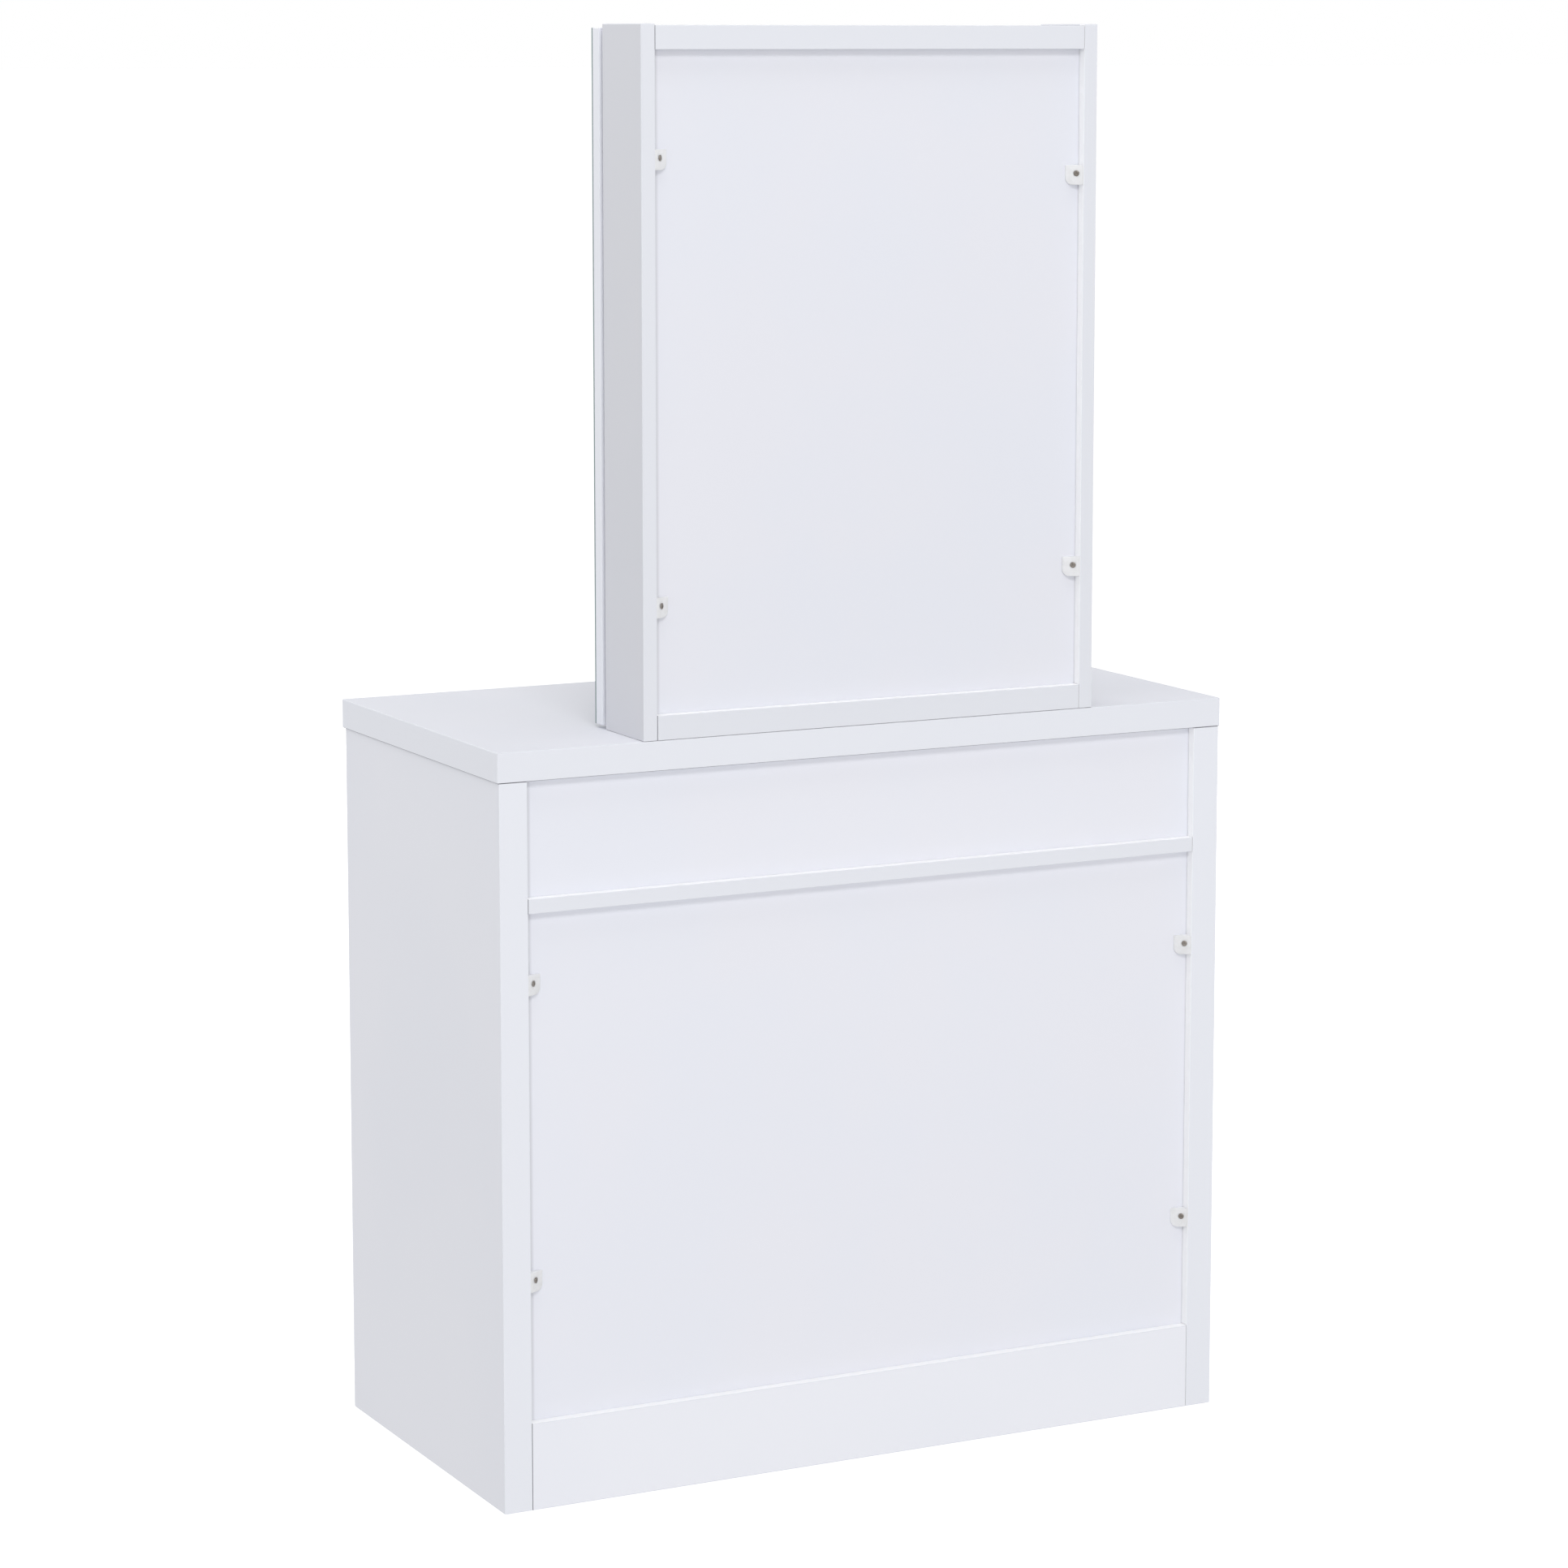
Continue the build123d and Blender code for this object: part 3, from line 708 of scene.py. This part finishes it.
work = bmesh.new()
for low, high in loose_boxes("shelf_pins"):
    radius = (high.z - low.z) / 2
    outline = [(0, 0), (radius, 0), (radius, high.x - low.x), (0, high.x - low.x)]
    pin = as_mesh(turned(eased_outline(outline, pin_ease), 32))
    pin.transform(Matrix.Translation((low.x, (low.y + high.y) / 2, (low.z + high.z) / 2))
                  @ Matrix.Rotation(math.pi / 2, 4, "Y"))
    work.from_mesh(pin)
place_piece("shelf_pin_set", as_mesh(work), metal("pin_zinc", pin_zinc, pin_zinc_dark, 0.30),
            "carcass", ["shelf_pins"])


# ---------------------------------------------------------------- mirror door
# A board door faced with a silvered glass pane of its own size, glued on. The pane's front
# arrises are ground to a narrow bevel and its cut edges look dark green.
silver = (0.84, 0.86, 0.865, 1.0)
silver_2 = (0.83, 0.855, 0.86, 1.0)
bevel_silver = (0.70, 0.75, 0.75, 1.0)
glass_edge = (0.16, 0.24, 0.235, 1.0)
edge_margin = 0.00008     # the cut edge is taken in from the pane's box by this much

paint("door_board", faced_board("door_board"))

low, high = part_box("mirror_glass")
material, shader, place = new_finish("silvered_glass", {"IOR": 1.52, "Coat IOR": 1.52})
ground = (high.y - low.y) / 3
edge = nearest_edge(place, low, high, (0, 2))
rim = 1 - edge.rise(edge_margin * 0.5, edge_margin)
bevel = 1 - edge.rise(ground * 0.95, ground * 1.05)
smear = place.noise(3.0, 3.0)
mirror = bevel.blend(smear.blend(silver, silver_2), bevel_silver)
rim.blend(mirror, glass_edge).into(shader, "Base Color")
(1 - rim).into(shader, "Metallic")
(0.015 + smear * 0.01 + bevel * 0.05 + rim * 0.25).into(shader, "Roughness")
(rim * place.noise(1200.0)).bump(0.00005, 0.4).into(shader, "Normal")
paint("mirror_glass", material)


# ---------------------------------------------------------------- door hinges
# Narrow nickel-plated butt hinges on the cabinet's front edge and the door's rear face:
# folded leaves, a loose pin, and small countersunk screws.
nickel = (0.66, 0.645, 0.62, 1.0)
nickel_dark = (0.56, 0.55, 0.53, 1.0)
hinge_screw_head = 0.0028
hinge_screw_sink = 0.0010     # the head's depth in the leaf
hinge_screw_rise = 0.0003     # and how far it stands out
hinge_screw_zinc = (0.42, 0.41, 0.40, 1.0)
hinge_screw_dark = (0.30, 0.295, 0.29, 1.0)
hinge_screw_spots = (-0.024, 0.0, 0.024)      # along the leaf, from its middle
leaf_screw_inset = 0.0055     # from the leaf's free edge
leaf_sheet = 0.0012

plated = metal("nickel_plate", nickel, nickel_dark, 0.30, grain=(1.0, 1.0, 0.04))
for node in ("hinge_frame_leaves", "hinge_door_leaves", "hinge_pins"):
    paint(node, plated)


def flat_screw(head, sink, rise):
    """A countersunk screw's head along Z: the board's or leaf's face is at z = 0."""
    outline = [(0, -sink * 1.6), (head * 0.45, -sink * 1.5), (head, -sink * 0.15),
               (head, rise * 0.4), (head * 0.92, rise), (0, rise)]
    blades = cross_recess(head * 0.6, head * 0.13, sink * 0.9, rise)
    return carved(as_mesh(turned(outline, 32)), *blades)


def facing(point, direction, spin=0.0):
    """A place at a point, its Z along the direction."""
    turn = Vector(direction).to_track_quat("Z", "Y").to_matrix().to_4x4()
    return Matrix.Translation(point) @ turn @ Matrix.Rotation(spin, 4, "Z")


hinge_screw = flat_screw(hinge_screw_head, hinge_screw_sink, hinge_screw_rise)
hinge_screw_metal = metal("hinge_screw_zinc", hinge_screw_zinc, hinge_screw_dark, 0.34)
leaf_faces = (("hinge_frame_leaves", "carcass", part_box("cabinet_side_left")[0].y - leaf_sheet, -1),
              ("hinge_door_leaves", "mirror_door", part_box("door_board")[1].y + leaf_sheet, 1))
for node, body, face_y, side in leaf_faces:
    spots = []
    for index, (low, high) in enumerate(loose_boxes(node)):
        for turn, z in enumerate(hinge_screw_spots):
            point = Vector((high.x - leaf_screw_inset, face_y, (low.z + high.z) / 2 + z))
            spots.append(facing(point, (0, side, 0), 0.5 * turn + index))
    place_piece(node.replace("leaves", "screws"), set_out(hinge_screw, spots),
                hinge_screw_metal, body)


# ---------------------------------------------------------------- door catch
# A moulded magnetic catch on the cabinet's right-hand side, its two steel poles standing
# just out of the case towards the door, and a screwed steel strike plate on the door.
catch_white = (0.74, 0.74, 0.74, 1.0)
catch_white_2 = (0.69, 0.69, 0.69, 1.0)
pole_steel = (0.45, 0.45, 0.46, 1.0)
pole_steel_2 = (0.36, 0.36, 0.37, 1.0)
plate_screw_head = 0.0030
plate_screw_sink = 0.0009
plate_screw_rise = 0.0002
plate_screw_spots = (-0.010, 0.010)           # up and down from the plate's middle
pole_spots = (-0.0028, 0.0028)                # across the case
pole_half_width = 0.0007
pole_half_height = 0.011
pole_stand_out = 0.0004       # in front of the case
pole_depth = 0.004            # inside it
pole_ease = 0.0002

material, shader, place = new_finish("catch_case", {"IOR": 1.5})
grain = place.noise(2200.0, 2.0, 0.6)
place.noise(140.0).rise(0.3, 0.7).blend(catch_white, catch_white_2).into(shader, "Base Color")
(0.42 + grain * 0.12).into(shader, "Roughness")
grain.bump(0.00005, 0.5).into(shader, "Normal")
paint("door_catch", material)
paint("catch_plate", metal("strike_zinc", bolt_zinc, bolt_zinc_dark, 0.33, grain=(1.0, 1.0, 0.05)))

low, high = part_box("catch_plate")
middle = (low + high) / 2
plate_screw = flat_screw(plate_screw_head, plate_screw_sink, plate_screw_rise)
spots = [facing((middle.x, high.y, middle.z + shift), (0, 1, 0), 0.4)
         for shift in plate_screw_spots]
place_piece("strike_plate_screws", set_out(plate_screw, spots),
            metal("plate_screw_zinc", bolt_zinc, bolt_zinc_dark, 0.3), "mirror_door")


def rounded_block(low, high, ease):
    """A block with all its arrises rounded."""
    work = bmesh.new()
    bmesh.ops.create_cube(work, size=1.0)
    for vert in work.verts:
        vert.co = Vector([high[axis] if vert.co[axis] > 0 else low[axis] for axis in range(3)])
    bmesh.ops.bevel(work, geom=list(work.edges), offset=ease, segments=2, profile=0.5,
                    affect="EDGES", clamp_overlap=True)
    return work


low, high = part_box("door_catch")
middle = (low + high) / 2
work = bmesh.new()
for shift in pole_spots:
    x = middle.x + shift
    block = rounded_block(
        Vector((x - pole_half_width, low.y - pole_stand_out, middle.z - pole_half_height)),
        Vector((x + pole_half_width, low.y + pole_depth, middle.z + pole_half_height)),
        pole_ease)
    work.from_mesh(as_mesh(block))
place_piece("catch_poles", as_mesh(work), metal("pole_steel", pole_steel, pole_steel_2, 0.38,
                                                grain=(1.0, 1.0, 0.05)), "carcass")


# ---------------------------------------------------------------- drawers
# Inset fronts of the same faced board. Each drawer box is of thinner board wrapped in a
# white foil with a faint weave, on a hardboard bottom held in grooves.
foil_white = (0.78, 0.785, 0.80, 1.0)
foil_white_2 = (0.765, 0.77, 0.785, 1.0)
foil_band = (0.80, 0.80, 0.81, 1.0)
weave_pitch = 0.0009
foil_fold = 0.0006            # the foil's paler fold along a board's upper edge
box_screw_head = 0.0034
box_screw_sink = 0.001
box_screw_rise = 0.0001
box_screw_shares = (0.16, 0.84)               # up the side board
drawer_names = ("wide_drawer", "small_drawer", "middle_drawer", "bottom_drawer")


def foil_board(node):
    """The finish of one board of a drawer's box."""
    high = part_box(node)[1]
    material, shader, place = new_finish("foil_board_" + node, {"IOR": 1.46})
    x, y, z = place.parts()
    turn = math.tau / weave_pitch
    weave = (((x + y) * turn).calc("SINE") * (z * turn).calc("SINE")) * 0.5 + 0.5
    cloud = place.noise(9.0, 3.0)
    top = z.rise(high.z - foil_fold, high.z - foil_fold / 2)
    top.blend(cloud.blend(foil_white, foil_white_2), foil_band).into(shader, "Base Color")
    (0.48 + cloud * 0.06 + weave * 0.05).into(shader, "Roughness")
    (weave * 0.6 + place.noise(700.0) * 0.4).bump(0.00003, 0.4).into(shader, "Normal")
    return material


for name in drawer_names:
    paint(name + "_front", faced_board(name + "_front"))
    for member in ("_side_left", "_side_right", "_back"):
        paint(name + member, foil_board(name + member))
    paint(name + "_bottom", lacquered_panel(name + "_bottom"))

box_screw = flat_screw(box_screw_head, box_screw_sink, box_screw_rise)
screw_zinc = metal("screw_zinc", bolt_zinc, bolt_zinc_dark, 0.32)
for name in drawer_names:
    spots = []
    back_low, back_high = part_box(name + "_back")
    for side, sign in (("_side_left", -1), ("_side_right", 1)):
        low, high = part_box(name + side)
        face_x = low.x if sign < 0 else high.x
        for turn, share in enumerate(box_screw_shares):
            point = (face_x, (back_low.y + back_high.y) / 2, low.z + (high.z - low.z) * share)
            spots.append(facing(point, (sign, 0, 0), 0.7 * turn + 0.3))
    place_piece(name + "_box_screws", set_out(box_screw, spots), screw_zinc, name)


# ---------------------------------------------------------------- knobs
# Turned knobs of brushed nickel: a round foot on the drawer front, a waisted neck and a
# mushroom head with a faintly dished face. A screw from inside the drawer holds each one.
knob_nickel = (0.60, 0.59, 0.575, 1.0)
knob_nickel_dark = (0.50, 0.49, 0.48, 1.0)
knob_screw_head = 0.0042
knob_screw_rise = 0.0022
knob_screw_core = 0.002
knob_screw_length = 0.012


def knob_outline(reach, radius):
    """Radius and height of the knob, foot at 0, for its whole reach and widest radius."""
    shape = ((0.0, 0.0), (0.57, 0.0), (0.57, 0.05), (0.53, 0.075), (0.44, 0.095), (0.385, 0.15),
             (0.355, 0.26), (0.36, 0.38), (0.41, 0.48), (0.52, 0.56), (0.70, 0.62), (0.88, 0.665),
             (0.965, 0.70), (1.0, 0.76), (1.0, 0.82), (0.965, 0.885), (0.90, 0.935),
             (0.80, 0.97), (0.66, 0.99), (0.56, 1.0), (0.50, 0.985), (0.30, 0.975), (0.0, 0.97))
    return [(share * radius, along * reach) for share, along in shape]


def smoothed(points, steps=3):
    """A smooth line through the points (Catmull-Rom)."""
    padded = [points[0], *points, points[-1]]
    result = []
    for a, b, c, d in zip(padded, padded[1:], padded[2:], padded[3:]):
        for step in range(steps):
            t = step / steps
            result.append(tuple(0.5 * (2 * b[k] + (c[k] - a[k]) * t
                                       + (2 * a[k] - 5 * b[k] + 4 * c[k] - d[k]) * t ** 2
                                       + (3 * b[k] - a[k] - 3 * c[k] + d[k]) * t ** 3)
                                for k in range(2)))
    result.append(points[-1])
    return result


def turned_metal(name, centre):
    """Brushed nickel whose fine marks run round the knob's own axis."""
    material, shader, place = new_finish(name, {"Metallic": 1.0})
    x, y, z = place.parts()
    dx, dz = x - centre.x, z - centre.z
    radius = (dx * dx + dz * dz).calc("SQRT")
    rings = radius.make("CombineXYZ", {}, {0: radius, 1: y, 2: 0.0}).noise(5200.0, 3.0, 0.7)
    cloud = place.noise(90.0)
    cloud.rise(0.3, 0.7).blend(knob_nickel, knob_nickel_dark).into(shader, "Base Color")
    (0.20 + rings * 0.16).into(shader, "Roughness")
    rings.bump(0.00002, 0.5).into(shader, "Normal")
    return material


knob_screw = pan_screw(knob_screw_head, knob_screw_rise, knob_screw_core, knob_screw_length)
for name in drawer_names:
    low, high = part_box(name + "_knob")
    middle = (low + high) / 2
    foot = Vector((middle.x, high.y, middle.z))
    outline = knob_outline(high.y - low.y, (high.x - low.x) / 2)
    mesh = as_mesh(turned(outline[:3] + smoothed(outline[3:]), 64))
    mesh.transform(facing(foot, (0, -1, 0)))
    place_piece(name + "_turned_knob", mesh, turned_metal(name + "_nickel", foot), name,
                [name + "_knob"], sharp=40.0)
    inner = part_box(name + "_front")[1].y
    mesh = set_out(knob_screw, [facing((foot.x, inner, foot.z), (0, 1, 0), 0.6)])
    place_piece(name + "_knob_screw", mesh, screw_zinc, name)


# ---------------------------------------------------------------- drawer runners
# Folded galvanised-steel runners: a wide channel screwed to each wall, and a narrower rail
# on each drawer's side that slides inside it.
galvanised = (0.60, 0.61, 0.62, 1.0)
galvanised_dark = (0.50, 0.51, 0.525, 1.0)
runner_screw_head = 0.0036
runner_screw_rise = 0.0016
runner_screw_core = 0.0016
runner_screw_length = 0.010
runner_screw_shares = (0.10, 0.50, 0.88)      # along the runner
runner_sheet = 0.0012
touching = 0.0002             # a web this close to a wall lies on it

runner_metal = metal("galvanised_steel", galvanised, galvanised_dark, 0.36, grain=(1.0, 0.03, 1.0))
paint("runner_channels", runner_metal)
for name in drawer_names:
    paint(name + "_rails", runner_metal)

runner_screw = pan_screw(runner_screw_head, runner_screw_rise, runner_screw_core,
                         runner_screw_length)


def runner_screws(name, boxes, web_side, body):
    """Screws through the webs of runners. web_side says of a runner's box whether its web
    is on the low side along X."""
    spots = []
    for low, high in boxes:
        on_low = web_side(low, high)
        face = low.x + runner_sheet if on_low else high.x - runner_sheet
        for turn, share in enumerate(runner_screw_shares):
            point = (face, low.y + (high.y - low.y) * share, (low.z + high.z) / 2)
            spots.append(facing(point, (1 if on_low else -1, 0, 0), turn * 0.8))
    place_piece(name, set_out(runner_screw, spots), screw_zinc, body)


for name in drawer_names:
    middle = sum(corner.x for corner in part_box(name + "_front")) / 2
    runner_screws(name + "_rail_screws", loose_boxes(name + "_rails"),
                  lambda low, high: (low.x + high.x) / 2 > middle, name)

walls = [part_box(node) for node in ("side_panel_left", "side_panel_right", "pedestal_wall",
                                   "drawer_partition")]
runner_screws("channel_screws", loose_boxes("runner_channels"),
              lambda low, high: any(abs(low.x - wall[1].x) < touching for wall in walls),
              "carcass")


low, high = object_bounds()
